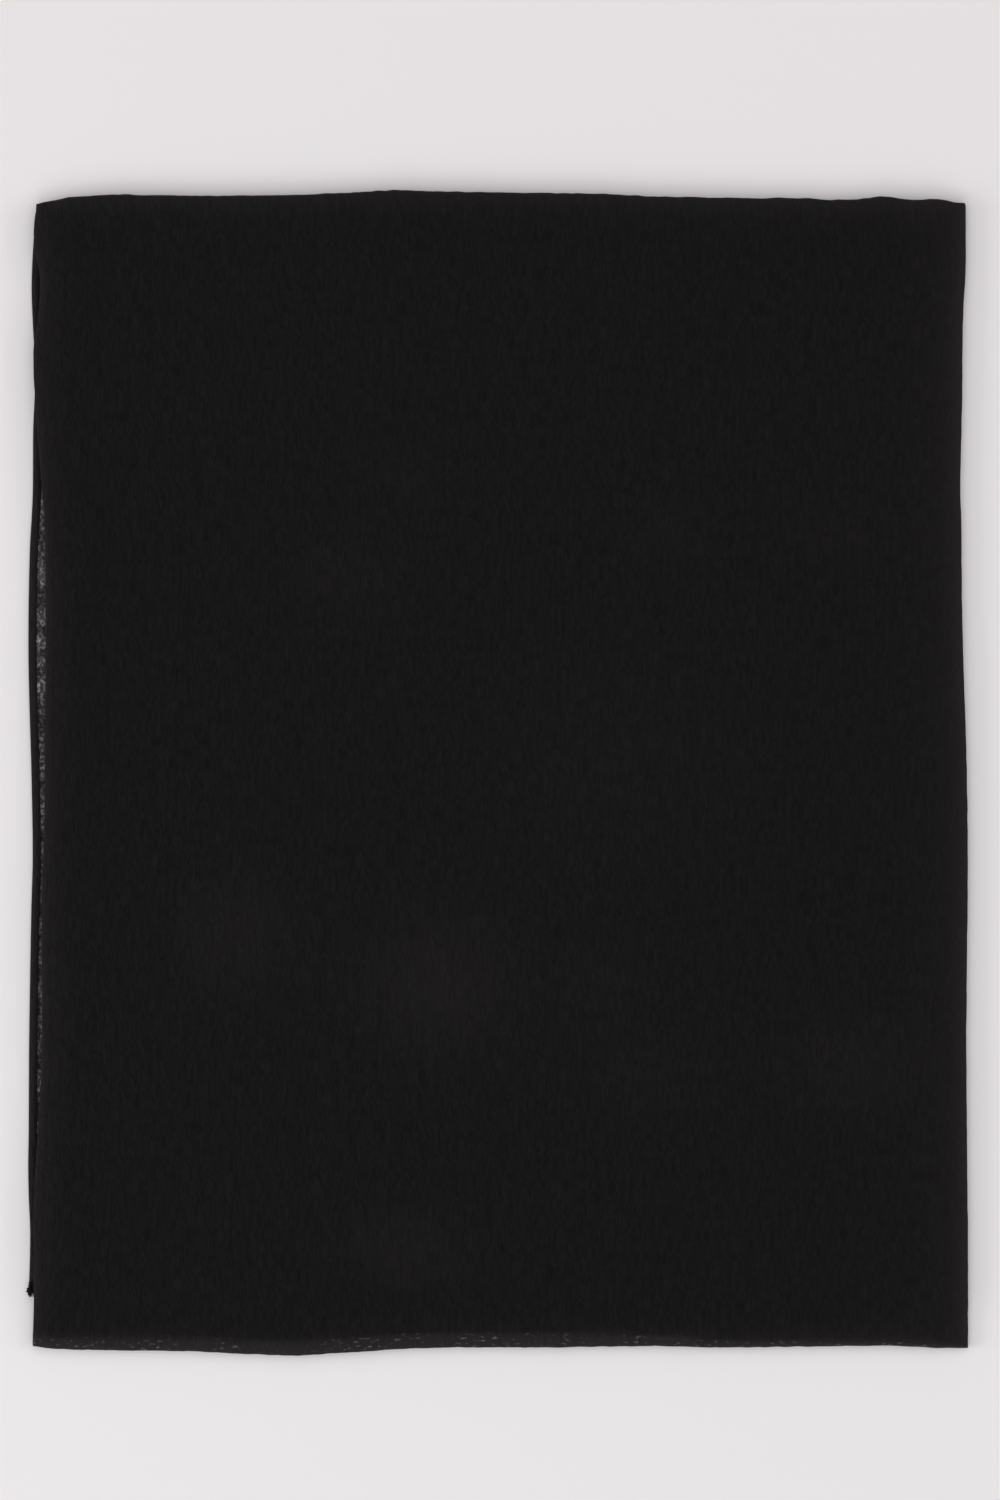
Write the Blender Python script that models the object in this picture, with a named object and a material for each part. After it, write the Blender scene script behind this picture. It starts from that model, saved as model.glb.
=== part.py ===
"""Plain black shawl in crinkle crepe, folded into a flat packet: in half across its width, then in four
along its length, so that eight plies lie on each other.

Metres, +Z up, and the packet lies on the plane z = 0. Its long side runs along Y. The front, at -Y, is a
fold of four plies that hides the shawl's short ends. The back, at +Y, is the fold that all eight plies
turn round. On the left, at -X, the hemmed long edges meet. The right, at +X, is the fold down the
shawl's middle, where each pair of plies is joined.
"""

import math
from collections import namedtuple

import bmesh
import bpy
from mathutils import Vector

MM = 0.001

# Driving dimensions
CUT_WIDTH = 748 * MM
CUT_LENGTH = 1806 * MM
PLY = 1.0 * MM  # the wall of a stretch that shows, with the loft of its crinkles
GAP = 0.3 * MM  # between solids that lie on each other
STACK = 6.4 * MM  # eight plies, of which the hidden six are pressed thinner
FRONT_FOLD = 4.0 * MM  # four plies
END_SETBACK = 20 * MM  # the short ends stop this far behind the front fold
HEM_WIDTH = 3.6 * MM
HEM_THICKNESS = 0.6 * MM
WIDTH_TAKE_UP = 2 * MM  # what the fold down the middle takes from half the cut's width
LENGTH_TAKE_UP = 1 * MM  # what the folds across take from each quarter of its length

# Worked out from the cut
FOLDED_WIDTH = CUT_WIDTH / 2 - WIDTH_TAKE_UP
FOLDED_LENGTH = (CUT_LENGTH / 2 + END_SETBACK) / 2 - LENGTH_TAKE_UP
LEFT = -FOLDED_WIDTH / 2
FRONT = -FOLDED_LENGTH / 2
BACK = FOLDED_LENGTH / 2
BACK_RADIUS = STACK / 2
FRONT_RADIUS = FRONT_FOLD / 2

# Where the upper stretch ends underneath, behind the front fold and in front of the back fold
FRONT_RETURN = 17 * MM
BACK_RETURN = 16 * MM

# The top surface slopes down over the short ends to the front fold, between these distances from it
SLOPE_FOOT = 8 * MM
SLOPE_HEAD = 31 * MM

# Fine crinkles along the cloth's length
CRINKLES = 44
CRINKLE_RISE = 0.42 * MM
CRINKLE_STRAY = 0.15  # how far a crest strays sideways, and how uneven the spacing is, in half crinkles
CRINKLE_SPREAD = 0.22

# Waves that make the crinkles uneven: radians from one row to the next, and from one point to the next
Wave = namedtuple("Wave", "row point")
STRAY_WAVE = Wave(0.55, 1.3)
SPREAD_WAVE = Wave(0, 2.1)
RISE_WAVE = Wave(0.9, 2.4)

# Rows of points along the cloth, steps round its folds, and columns across the inner side of the sheet
SLOPE_ROWS = 5
LEVEL_ROWS = 15
LOWER_ROWS = 34
FRONT_TURN_STEPS = 6
BACK_TURN_STEPS = 8
COLUMNS = 14
COLUMN_MARGIN = 12 * MM
UNDERSIDE = -0.3  # the sheet counts as lying underneath where its way out points down by more than this

# How far an edge stands out from its straight line at a place along it, in millimetres.
# Side edges are placed from the front fold, and the front and back folds from the left edge.
Edge = namedtuple("Edge", "at out")
UPPER_LEFT = [
    Edge(0, 0.4), Edge(20, -0.2), Edge(60, -0.4), Edge(91, -2.4), Edge(115, -3.8), Edge(180, -4.0),
    Edge(212, -5.0), Edge(322, -5.3), Edge(350, -3.2), Edge(372, -1.2), Edge(420, 0.0), Edge(452, -0.4),
    Edge(460, -1.6),
]
LOWER_LEFT = [
    Edge(0, 1.8), Edge(20, 1.8), Edge(45, 1.2), Edge(85, 1.8), Edge(123, 1.8), Edge(173, 0.8),
    Edge(197, 0.3), Edge(237, 1.0), Edge(277, 2.2), Edge(317, 1.6), Edge(341, 0.3), Edge(389, -0.6),
    Edge(421, 0.5), Edge(452, -0.4), Edge(460, -1.6),
]
RIGHT_EDGE = [
    Edge(0, 2.0), Edge(45, 1.8), Edge(125, 1.1), Edge(193, 1.8), Edge(229, 1.4), Edge(261, 0.5),
    Edge(293, -0.6), Edge(337, -1.4), Edge(373, -0.6), Edge(413, -0.2), Edge(441, 1.0), Edge(460, 0.4),
]
BACK_EDGE = [
    Edge(0, -2.8), Edge(8, -1.5), Edge(16, -0.2), Edge(32, 0.8), Edge(120, 1.1), Edge(144, 2.4),
    Edge(160, 2.0), Edge(208, 1.3), Edge(240, 0.7), Edge(288, -0.8), Edge(326, -1.5), Edge(340, -0.1),
    Edge(352, -1.5), Edge(362, -1.0), Edge(372, -2.0),
]
FRONT_EDGE = [
    Edge(0, -0.8), Edge(10, 0.2), Edge(64, 1.1), Edge(82, 2.0), Edge(104, 2.7), Edge(122, 1.8),
    Edge(152, -0.1), Edge(208, -0.6), Edge(256, -1.0), Edge(274, -0.4), Edge(320, -1.0), Edge(346, -1.0),
    Edge(372, 0.6),
]
EDGE_FADE = 60 * MM  # an uneven front or back fold pulls the cloth this far in

# Soft swells and hollows of the top surface: centre, reach across and along, and rise, in millimetres
Swell = namedtuple("Swell", "x y across along rise")
SWELLS = [
    Swell(-23, -85, 30, 26, 0.5),
    Swell(-105, -64, 26, 22, 0.35),
    Swell(-36, -190, 24, 16, 0.35),
    Swell(141, -116, 24, 20, 0.3),
    Swell(-60, 80, 40, 30, 0.25),
    Swell(70, 110, 45, 40, 0.25),
    Swell(-148, 10, 14, 130, -0.25),
    Swell(60, 190, 60, 16, -0.2),
]

# The six hidden plies, lowest first: how far each edge lies inside the upper stretch's, in millimetres,
# and its share of their height. The first and the last have the hems beside them.
Ply = namedtuple("Ply", "left right share")
HIDDEN_PLIES = [
    Ply(4.4, 3.5, 0.24), Ply(1.6, 1.4, 0.13), Ply(0.9, 1.4, 0.13), Ply(1.8, 0.5, 0.13), Ply(0.7, 0.5, 0.13),
    Ply(4.2, 2.6, 0.24),
]
TUCK = 4.6 * MM  # how far inside their edges lie where they turn within the back fold
TUCK_ROUND = 6 * MM
HIDDEN_BACK_INSET = 5.4 * MM  # where that turn starts, from the back
HIDDEN_TURN_STEPS = (25, 50, 75)  # degrees
JOINED_PLIES = (2, 4)  # the third and fifth, each joined at the right to the one below it
PLY_NOTCH = 1.1  # depth of the groove between two plies, as a share of a ply's thickness
JOINED_NOTCH = 0.15  # the share of that depth where a fold joins the two
PLY_NOSE = 0.25  # height over which a ply's edge rounds off, as a share of its thickness
FOLD_INSET = 4.5 * MM  # the hidden plies' own front fold lies this far behind the shawl's
LOWER_RIGHT_INSET = 0.8 * MM
ROUNDING = 0.3 * MM  # how far in the round edges of a ply start
HEM_ROUNDING = 0.2 * MM

# The knotted corner of the hem, and its girth at places along it, both as shares of its size
KNOT_LENGTH = 6.4 * MM
KNOT_WIDTH = 2.4 * MM
KNOT_HEIGHT = 1.6 * MM
KNOT_INSET = 0.4 * MM  # its middle lies this far in from the lower hem's edge
KNOT_SIDES = 10
Girth = namedtuple("Girth", "place size")
KNOT = [
    Girth(-0.5, 0.35), Girth(-0.38, 0.8), Girth(-0.1, 1.0), Girth(0.15, 0.85), Girth(0.4, 0.7),
    Girth(0.5, 0.3),
]

BLACK = (0.0105, 0.0098, 0.0098, 1.0)
HEM_BLACK = (0.0090, 0.0085, 0.0085, 1.0)
CLOTH_ROUGHNESS = 0.95


def reading(table, place):
    """The table's value at a place in metres, in metres, on a smooth curve through its rows."""
    at = min(max(place / MM, table[0].at), table[-1].at)
    k = max(i for i, row in enumerate(table[:-1]) if row.at <= at)
    span = table[k + 1].at - table[k].at
    t = (at - table[k].at) / span

    def slope(i):
        before, after = table[max(i - 1, 0)], table[min(i + 1, len(table) - 1)]
        return (after.out - before.out) / (after.at - before.at)

    value = (
        table[k].out * (1 + 2 * t) * (1 - t) ** 2
        + table[k + 1].out * t**2 * (3 - 2 * t)
        + slope(k) * span * t * (1 - t) ** 2
        - slope(k + 1) * span * t**2 * (1 - t)
    )
    return value * MM


def smooth_step(low, high, value):
    """0 at low, 1 at high, and an even curve between them."""
    t = min(max((value - low) / (high - low), 0), 1)
    return t * t * (3 - 2 * t)


def upper_left(y):
    return LEFT - reading(UPPER_LEFT, y - FRONT)


def lower_left(y):
    return LEFT - reading(LOWER_LEFT, y - FRONT)


def right(y):
    return -LEFT + reading(RIGHT_EDGE, y - FRONT)


def front_shift(x, y, reach):
    """How far the uneven front fold moves a point along Y. It fades out over reach."""
    fade = 1 - smooth_step(0, reach, y - FRONT - FRONT_RADIUS)
    return -fade * reading(FRONT_EDGE, x - LEFT)


def back_shift(x, y, reach):
    """How far the uneven back fold moves a point along Y. It fades out over reach."""
    fade = 1 - smooth_step(0, reach, BACK - BACK_RADIUS - y)
    return fade * reading(BACK_EDGE, x - LEFT)


def top_height(y):
    """Height of the plain top surface: four plies at the front fold, eight behind the short ends."""
    rise = smooth_step(SLOPE_FOOT, SLOPE_HEAD, y - FRONT)
    return FRONT_FOLD + (STACK - FRONT_FOLD) * rise


def hidden_levels(y):
    """Heights of the boundaries between the hidden plies, which share the room between the stretches."""
    floor, ceiling = PLY + GAP, top_height(y) - PLY - GAP
    heights = [floor]
    for ply in HIDDEN_PLIES:
        heights.append(heights[-1] + (ceiling - floor) * ply.share)
    return heights


def swell(x, y):
    """Rise of the soft swells and hollows at a point of the top surface."""
    total = 0
    for s in SWELLS:
        across = (x / MM - s.x) / s.across
        along = (y / MM - s.y) / s.along
        total += s.rise * MM * math.exp(-(across**2) - along**2)
    return total


def top_places():
    """Where the rows of points lie along the top, between its two folds. They stand closer on the slope."""
    foot, head, end = FRONT + SLOPE_FOOT, FRONT + SLOPE_HEAD, BACK - BACK_RADIUS
    slope = [foot + (head - foot) * i / SLOPE_ROWS for i in range(SLOPE_ROWS)]
    level = [head + (end - head) * i / LEVEL_ROWS for i in range(LEVEL_ROWS + 1)]
    return slope + level


def column_places():
    """Where the columns of points lie across the plain inner surfaces, from left to right."""
    first = LEFT + COLUMN_MARGIN
    return [first - 2 * first * i / (COLUMNS - 1) for i in range(COLUMNS)]


# A station of the sheet's path: a place on its outer surface and the way out of it, both in the YZ plane,
# and how far in the uneven folds move it
Station = namedtuple("Station", "y z out_y out_z reach")


def turn(centre_y, radius, start, steps, reach):
    """Stations round a half turn, from one flat side to the other, with neither end."""
    stations = []
    for i in range(1, steps):
        angle = start - math.pi * i / steps
        out_y, out_z = math.cos(angle), math.sin(angle)
        stations.append(Station(centre_y + radius * out_y, radius + radius * out_z, out_y, out_z, reach))
    return stations


def upper_path():
    """Stations of the upper stretch, from under the front fold, over the top, to under the back fold."""
    front_turn = FRONT + FRONT_RADIUS
    back_turn = BACK - BACK_RADIUS
    front_end = FRONT + FRONT_RETURN
    back_end = BACK - BACK_RETURN
    stations = [Station(front_end, 0, 0, -1, FRONT_RETURN - FRONT_RADIUS)]
    stations.append(Station((front_end + front_turn) / 2, 0, 0, -1, FRONT_RETURN - FRONT_RADIUS))
    stations.append(Station(front_turn, 0, 0, -1, EDGE_FADE))
    stations += turn(front_turn, FRONT_RADIUS, -math.pi / 2, FRONT_TURN_STEPS, EDGE_FADE)
    for y in [front_turn] + top_places():
        step = 0.5 * MM
        slope = (top_height(y + step) - top_height(y - step)) / (2 * step)
        length = math.hypot(1, slope)
        stations.append(Station(y, top_height(y), -slope / length, 1 / length, EDGE_FADE))
    stations += turn(back_turn, BACK_RADIUS, math.pi / 2, BACK_TURN_STEPS, EDGE_FADE)
    stations.append(Station(back_turn, 0, 0, -1, EDGE_FADE))
    stations.append(Station(back_end, 0, 0, -1, BACK_RETURN - BACK_RADIUS))
    return stations


def in_path(station, x, depth):
    """The point at x, this deep inside the outer surface at a station."""
    shift = front_shift(x, station.y, station.reach) + back_shift(x, station.y, station.reach)
    return Vector((x, station.y - depth * station.out_y + shift, station.z - depth * station.out_z))


def underneath(station):
    return station.out_z < UNDERSIDE


def left_of(station):
    return lower_left(station.y) if underneath(station) and station.y > 0 else upper_left(station.y)


def wave(kind, row, point):
    return math.sin(kind.row * row + kind.point * point)


def crinkled_row(station, row):
    """Outer points across the cloth, alternately in a trough and on the crest of a crinkle."""
    x_left = left_of(station)
    x_right = right(station.y) - PLY
    last = 2 * CRINKLES
    points = []
    for j in range(last + 1):
        place = j
        if 0 < j < last:
            place += CRINKLE_STRAY * wave(STRAY_WAVE, row, j) + CRINKLE_SPREAD * wave(SPREAD_WAVE, row, j)
        x = x_left + (x_right - x_left) * place / last
        rise = 0
        if not underneath(station):
            if j % 2:
                rise = CRINKLE_RISE * (0.6 + 0.4 * wave(RISE_WAVE, row, j))
            rise += swell(x, station.y) * station.out_z
        points.append(in_path(station, x, -rise))
    return points


def loft(name, rings, material, parent, hubs=()):
    """A closed solid through rings of points. Its ends are fans round the two hubs, or single faces."""
    mesh = bmesh.new()
    loops = [[mesh.verts.new(point) for point in ring] for ring in rings]
    for first, second in zip(loops, loops[1:]):
        for k in range(len(first)):
            following = (k + 1) % len(first)
            mesh.faces.new((first[k], first[following], second[following], second[k]))
    ends = (loops[0], loops[-1])
    for end in [] if hubs else ends:
        mesh.faces.new(end)
    for end, hub in zip(ends, hubs):
        middle = mesh.verts.new(hub)
        for k in range(len(end)):
            mesh.faces.new((end[k], end[(k + 1) % len(end)], middle))
    bmesh.ops.triangulate(mesh, faces=mesh.faces, quad_method="FIXED")
    bmesh.ops.recalc_face_normals(mesh, faces=mesh.faces)
    data = bpy.data.meshes.new(name)
    mesh.to_mesh(data)
    mesh.free()
    data.shade_smooth()
    data.set_sharp_from_angle(angle=math.radians(40))
    data.materials.append(material)
    solid = bpy.data.objects.new(name, data)
    bpy.context.scene.collection.objects.link(solid)
    solid.parent = parent
    return solid


def upper_sheet(material, parent):
    """The stretch that shows from above, with the front fold and the back fold that it turns round."""
    rings = []
    path = upper_path()
    for row, station in enumerate(path):
        edge = right(station.y)
        # On the right the ply rolls over a bead, which is as deep as the highest hidden ply beside it
        bead = top_height(station.y) - hidden_levels(station.y)[-2] - GAP
        ring = crinkled_row(station, row)
        ring.append(in_path(station, edge - ROUNDING, ROUNDING))
        ring.append(in_path(station, edge, bead / 2))
        ring.append(in_path(station, edge - ROUNDING, bead - ROUNDING))
        ring.append(in_path(station, edge - PLY, bead))
        ring.append(in_path(station, edge - 2 * PLY, PLY))
        ring += [in_path(station, x, PLY) for x in reversed(column_places())]
        ring.append(in_path(station, left_of(station) + ROUNDING, PLY))
        ring.append(in_path(station, left_of(station) - ROUNDING, PLY / 2))
        rings.append(ring)
    hubs = [in_path(end, right(end.y) - 1.3 * PLY, 0.6 * PLY) for end in (path[0], path[-1])]
    return loft("upper_sheet", rings, material, parent, hubs)


def hem_section(edge):
    """Section of a hem as pairs of x and depth: a flat strip with round sides, one ply deep."""
    low, high = PLY + GAP, PLY + GAP + HEM_THICKNESS
    far = edge + HEM_WIDTH
    return [
        (edge, low + HEM_ROUNDING), (edge + HEM_ROUNDING, low), (far - HEM_ROUNDING, low),
        (far, low + HEM_ROUNDING), (far, high - HEM_ROUNDING), (far - HEM_ROUNDING, high),
        (edge + HEM_ROUNDING, high), (edge, high - HEM_ROUNDING),
    ]


def upper_hem(material, parent):
    """The long edge's hem, turned in under the upper stretch from its slope on and round the back fold."""
    stations = [s for s in upper_path() if s.y >= FRONT + SLOPE_HEAD]
    rings = [[in_path(s, x, depth) for x, depth in hem_section(left_of(s))] for s in stations]
    return loft("upper_hem", rings, material, parent)


def lower_places(first):
    """Where the rows of points lie along the lower stretch, up to where the upper one ends underneath."""
    last = BACK - BACK_RETURN - GAP
    return [first + (last - first) * i / (LOWER_ROWS - 1) for i in range(LOWER_ROWS)]


def lower_sheet(material, parent):
    """The bottom ply. Its left edge stands out from under the stack, and its front is the short end."""
    rings = []
    for y in lower_places(FRONT + END_SETBACK):
        start, edge = lower_left(y), right(y) - LOWER_RIGHT_INSET
        # The bead on the right runs back into the ply above, so it is as high as that ply lets it be
        bead = hidden_levels(y)[1] - GAP
        section = [
            (start + ROUNDING, 0), (edge - 2 * ROUNDING, 0), (edge, bead / 2), (edge - 2 * ROUNDING, bead),
            (edge - 1.4 * PLY, bead), (edge - 2 * PLY, PLY), (start + ROUNDING, PLY), (start, PLY / 2),
        ]
        rings.append([Vector((x, y, z)) for x, z in section])
    return loft("lower_sheet", rings, material, parent)


def lower_hem(material, parent):
    """The long edge's hem on the bottom ply, behind the knot. It shows past the stack's left side."""
    places = lower_places(FRONT + END_SETBACK + KNOT_LENGTH + 2 * GAP)
    rings = [[Vector((x, y, z)) for x, z in hem_section(lower_left(y))] for y in places]
    return loft("lower_hem", rings, material, parent)


def hem_corner(material, parent):
    """The knotted corner where the long edge's hem ends at the short end's."""
    y = FRONT + END_SETBACK
    centre = Vector((lower_left(y) + KNOT_INSET, y + KNOT_LENGTH / 2, PLY + GAP + KNOT_HEIGHT / 2))
    rings = []
    for place, size in KNOT:
        ring = []
        for k in range(KNOT_SIDES):
            angle = 2 * math.pi * k / KNOT_SIDES
            side = Vector((KNOT_WIDTH * math.cos(angle), 0, KNOT_HEIGHT * math.sin(angle))) / 2
            ring.append(centre + Vector((0, place * KNOT_LENGTH, 0)) + side * size)
        rings.append(ring)
    return loft("hem_corner", rings, material, parent)


def ply_side(heights, edges, notches):
    """One side of the hidden plies, from the lowest up: three points a ply, and one on top of them."""
    side = []
    for low, high, edge, notch in zip(heights, heights[1:], edges, notches):
        nose = PLY_NOSE * (high - low)
        side += [(edge + notch * (high - low), low), (edge, low + nose), (edge, high - nose)]
    return side + [(edge + notches[0] * (high - low), high)]


def hidden_ring(y, pinch=1, plain=False):
    """Section of the hidden plies at y. Towards their back fold, pinch closes it in on its middle."""
    heights = hidden_levels(y)
    middle = (heights[0] + heights[-1]) / 2
    heights = [middle + (h - middle) * pinch for h in heights]
    count = len(HIDDEN_PLIES)
    if plain:
        tuck = TUCK + TUCK_ROUND * (1 - pinch)
        lefts, rights = [upper_left(y) + tuck] * count, [right(y) - tuck] * count
        left_notches = right_notches = [0] * count
    else:
        lefts = [upper_left(y) + ply.left * MM for ply in HIDDEN_PLIES]
        lefts[0] = max(lefts[0], lower_left(y) + HEM_WIDTH + GAP)
        rights = [right(y) - ply.right * MM for ply in HIDDEN_PLIES]
        left_notches = [PLY_NOTCH] * count
        right_notches = [-PLY_NOTCH * (JOINED_NOTCH if k in JOINED_PLIES else 1) for k in range(count)]
    section = ply_side(heights, lefts, left_notches) + [(x, heights[-1]) for x in column_places()]
    section += ply_side(heights, rights, right_notches)[::-1]
    section += [(x, heights[0]) for x in column_places()[::-1]]
    return [Vector((x, y + (0 if plain else front_shift(x, y, EDGE_FADE)), z)) for x, z in section]


def middle_layers(material, parent):
    """The six hidden plies as one solid, with a groove between plies at its sides and a round back."""
    rings = [hidden_ring(FRONT + FOLD_INSET, plain=True)]
    last = BACK - HIDDEN_BACK_INSET
    rings += [hidden_ring(y) for y in top_places() if y < last] + [hidden_ring(last)]
    nose = BACK_RADIUS - PLY - GAP
    for degrees in HIDDEN_TURN_STEPS:
        angle = math.radians(degrees)
        rings.append(hidden_ring(last + nose * math.sin(angle), pinch=math.cos(angle), plain=True))
    hubs = [sum((ring[0], ring[len(ring) // 2]), Vector()) / 2 for ring in (rings[0], rings[-1])]
    return loft("middle_layers", rings, material, parent, hubs)


def cloth_material(name, colour):
    material = bpy.data.materials.new(name)
    material.use_nodes = True
    surface = material.node_tree.nodes["Principled BSDF"]
    surface.inputs["Base Color"].default_value = colour
    surface.inputs["Roughness"].default_value = CLOTH_ROUGHNESS
    surface.inputs["Metallic"].default_value = 0
    material.diffuse_color = colour
    return material


def centre_on_origin(parent, solids):
    """Moves the packet so that the middle of its box stands over the origin."""
    points = [vertex.co for solid in solids for vertex in solid.data.vertices]
    for axis in (0, 1):
        values = [point[axis] for point in points]
        parent.location[axis] = -(min(values) + max(values)) / 2


def main():
    for old in list(bpy.data.objects):
        bpy.data.objects.remove(old)
    packet = bpy.data.objects.new("packet", None)
    bpy.context.scene.collection.objects.link(packet)
    cloth = cloth_material("crinkle_crepe", BLACK)
    hem = cloth_material("hem", HEM_BLACK)
    solids = [
        upper_sheet(cloth, packet),
        middle_layers(cloth, packet),
        lower_sheet(cloth, packet),
        upper_hem(hem, packet),
        lower_hem(hem, packet),
        hem_corner(hem, packet),
    ]
    centre_on_origin(packet, solids)


main()
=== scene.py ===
"""Plain black shawl in crinkle crepe, folded into a flat packet and seen from straight above.

Metres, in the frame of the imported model: the packet lies on z = 0, with its front fold at -Y, its back fold
at +Y, its hemmed long edges on the left at -X and the fold of its middle on the right at +X.
"""

import math
from collections import namedtuple
from functools import lru_cache

import bmesh
import bpy
import numpy as np
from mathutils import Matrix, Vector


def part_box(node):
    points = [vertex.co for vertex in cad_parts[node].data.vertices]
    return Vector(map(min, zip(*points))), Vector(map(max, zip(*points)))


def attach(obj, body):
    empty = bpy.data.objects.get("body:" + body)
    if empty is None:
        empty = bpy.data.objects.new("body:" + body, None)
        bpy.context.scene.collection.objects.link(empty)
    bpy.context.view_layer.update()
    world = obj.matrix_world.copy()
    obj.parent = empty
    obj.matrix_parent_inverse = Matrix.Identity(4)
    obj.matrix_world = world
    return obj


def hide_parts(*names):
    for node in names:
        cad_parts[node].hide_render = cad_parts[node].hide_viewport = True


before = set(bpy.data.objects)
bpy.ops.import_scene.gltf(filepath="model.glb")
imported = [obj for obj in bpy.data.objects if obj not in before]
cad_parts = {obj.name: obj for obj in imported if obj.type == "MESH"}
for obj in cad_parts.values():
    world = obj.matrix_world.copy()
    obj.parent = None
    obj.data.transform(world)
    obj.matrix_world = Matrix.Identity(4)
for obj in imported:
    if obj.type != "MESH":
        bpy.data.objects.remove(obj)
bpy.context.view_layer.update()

MM = 0.001

# The folded packet, as in its construction
FOLDED_WIDTH = 372 * MM
FOLDED_LENGTH = 460.5 * MM
STACK = 6.4 * MM
FRONT_FOLD = 4.0 * MM
END_SETBACK = 20 * MM
SLOPE_FOOT = 8 * MM
SLOPE_HEAD = 31 * MM
FRONT_RETURN = 17 * MM
BACK_RETURN = 16 * MM
HEM_WIDTH = 3.3 * MM

# The knotted corner of the hem fixes where the packet's left and front lie in the frame
CORNER_LOW, CORNER_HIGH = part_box("hem_corner")
CORNER_OUT = 1.4 * MM  # its middle lies this far left of the packet's straight left line
LEFT = (CORNER_LOW.x + CORNER_HIGH.x) / 2 + CORNER_OUT
RIGHT = LEFT + FOLDED_WIDTH
FRONT = CORNER_LOW.y - END_SETBACK
BACK = FRONT + FOLDED_LENGTH

# How far an edge stands out from its straight line at a place along it, in millimetres.
# Side edges are placed from the front fold, and the front and back folds from the left edge.
Edge = namedtuple("Edge", "at out")
UPPER_LEFT = [
    Edge(0, 0.4), Edge(20, -0.2), Edge(60, -0.4), Edge(91, -2.2), Edge(115, -3.4), Edge(180, -3.5),
    Edge(212, -4.5), Edge(322, -4.8), Edge(350, -3.0), Edge(372, -1.2), Edge(400, -0.2), Edge(412, -2.0),
    Edge(430, -2.6), Edge(442, -0.5), Edge(452, -0.4), Edge(460, -1.6),
]
LOWER_LEFT = [
    Edge(0, 1.8), Edge(20, 1.9), Edge(45, 1.4), Edge(61, 2.0), Edge(73, 2.2), Edge(85, 2.0), Edge(123, 1.8),
    Edge(173, 1.0), Edge(197, 0.4), Edge(229, 0.9), Edge(277, 2.1), Edge(317, 1.6), Edge(341, 0.4),
    Edge(367, 0.2), Edge(389, -0.6), Edge(409, 0.3), Edge(421, 0.8), Edge(433, 0.6), Edge(452, -0.6),
    Edge(460, -1.6),
]
RIGHT_EDGE = [
    Edge(0, 2.0), Edge(45, 1.8), Edge(125, 1.2), Edge(193, 1.8), Edge(229, 1.4), Edge(261, 0.5),
    Edge(293, -0.5), Edge(325, -0.7), Edge(345, -1.2), Edge(373, -0.6), Edge(413, -0.1), Edge(433, 1.0),
    Edge(460, 0.9),
]
BACK_EDGE = [
    Edge(0, -2.8), Edge(8, -1.5), Edge(16, -0.2), Edge(32, 0.7), Edge(53, 0.4), Edge(100, 0.4),
    Edge(123, 1.4), Edge(144, 2.4), Edge(160, 2.0), Edge(208, 1.3), Edge(232, 0.8), Edge(248, 0.0),
    Edge(268, -0.4), Edge(288, -0.7), Edge(303, -0.6), Edge(326, -1.4), Edge(340, -0.1), Edge(352, -1.5),
    Edge(362, -0.9), Edge(372, -1.2),
]
FRONT_EDGE = [
    Edge(0, -0.8), Edge(10, 0.2), Edge(64, 1.1), Edge(82, 2.0), Edge(104, 2.7), Edge(122, 1.8),
    Edge(152, -0.1), Edge(208, -0.6), Edge(256, -1.0), Edge(274, -0.4), Edge(320, -1.0), Edge(346, -1.0),
    Edge(372, 0.6),
]
# How far the hidden plies' own front fold lies behind the shawl's, from the left edge
INNER_FOLD = [Edge(0, 5.0), Edge(120, 5.6), Edge(225, 5.3), Edge(255, 4.2), Edge(290, 2.4), Edge(372, 1.8)]
EDGE_FADE = 60 * MM

# Soft swells and hollows of the top: centre, reach across and along, and rise, in millimetres
Swell = namedtuple("Swell", "x y across along rise")
SWELLS = [
    Swell(-23, -85, 30, 26, 0.5),
    Swell(-105, -64, 26, 22, 0.35),
    Swell(-36, -190, 24, 16, 0.35),
    Swell(141, -116, 24, 20, 0.3),
    Swell(-60, 80, 24, 18, 0.2),
    Swell(-35, 118, 20, 16, 0.12),
    Swell(69, 97, 16, 14, 0.16),
    Swell(137, 97, 18, 12, 0.16),
    Swell(48, 5, 50, 44, 0.14),
    Swell(41, -83, 18, 15, 0.18),
    Swell(61, -119, 28, 20, 0.18),
    Swell(-145, 5, 12, 100, -0.25),
    Swell(5, 190, 45, 18, -0.25),
    Swell(-107, -209, 50, 8, -0.3),
    Swell(77, -212, 60, 6, -0.2),
]

# The crepe's crinkles that are large enough to model: width and length of one, how high it stands, and
# how far it strays sideways. Finer ones are in the cloth's material.
Crinkle = namedtuple("Crinkle", "wide long rise stray seed")
CRINKLES = [
    Crinkle(2.2 * MM, 6.5 * MM, 0.16 * MM, 1.6 * MM, 11),
    Crinkle(4.2 * MM, 12 * MM, 0.26 * MM, 3.0 * MM, 23),
]

# The cloth itself
WALL = 0.85 * MM
BEAD = 1.15 * MM  # height of the round fold on the right, where the top ply runs on into the next
FRONT_BEAD = 0.9 * MM
PILLOW_LEFT = 0.6 * MM  # the packet is this much lower at its sides
PILLOW_RIGHT = 2.8 * MM
PILLOW_REACH = 20 * MM
FRONT_LOFT = 0.6 * MM  # the crinkles stand this far out at the front fold
SEAM = 0.2 * MM  # between cloths that lie on each other
ROOM_FLOOR = 1.0 * MM  # height at which the hidden plies start

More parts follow.
